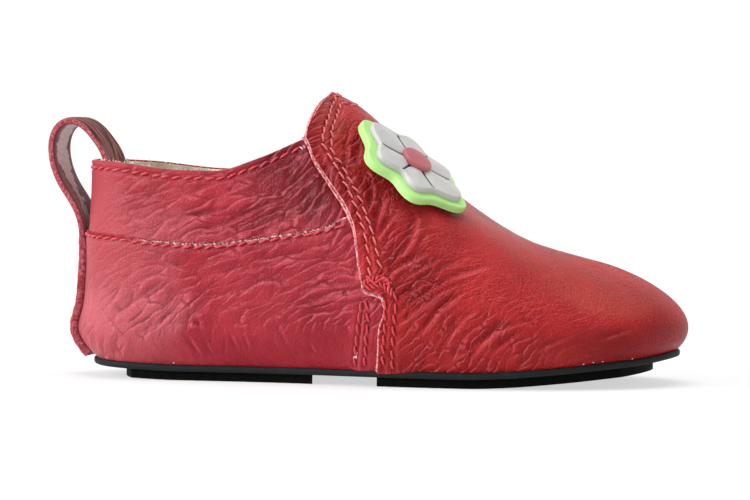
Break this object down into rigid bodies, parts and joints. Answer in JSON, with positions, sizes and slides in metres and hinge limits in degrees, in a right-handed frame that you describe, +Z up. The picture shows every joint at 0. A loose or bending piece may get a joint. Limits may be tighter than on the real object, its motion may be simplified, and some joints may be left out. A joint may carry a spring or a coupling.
{
  "type": "barefoot shoe",
  "caption": "Soft leather slip-on barefoot shoe for a toddler's right foot: vamp lapped over the quarters, thin rubber sole with tread pads, heel pull loop and rubber flower badge.",
  "frame": {"origin": "middle of the footprint's bounding box, on the floor", "axes": "+X to the toe, +Y to the inner side of the foot, +Z up"},
  "size_m": [0.1426, 0.0604, 0.0633],
  "materials": {
    "red_leather": "pebbled grain, satin",
    "strap_leather": "grain outside, suede flesh side",
    "sole_rubber": "matt",
    "tread_rubber": "matt, fine grooves",
    "fleece": "cream fleece",
    "lime_rubber": "soft satin",
    "grey_rubber": "soft satin",
    "pink_rubber": "soft satin"
  },
  "bodies": {
    "root": {"upper": "red_leather", "heel_strap": "strap_leather", "sole": "sole_rubber", "tread_heel": "tread_rubber", "tread_forefoot": "tread_rubber", "insole": "fleece", "badge_base": "lime_rubber", "badge_flower": "grey_rubber", "badge_button": "pink_rubber"}
  },
  "joints": []
}
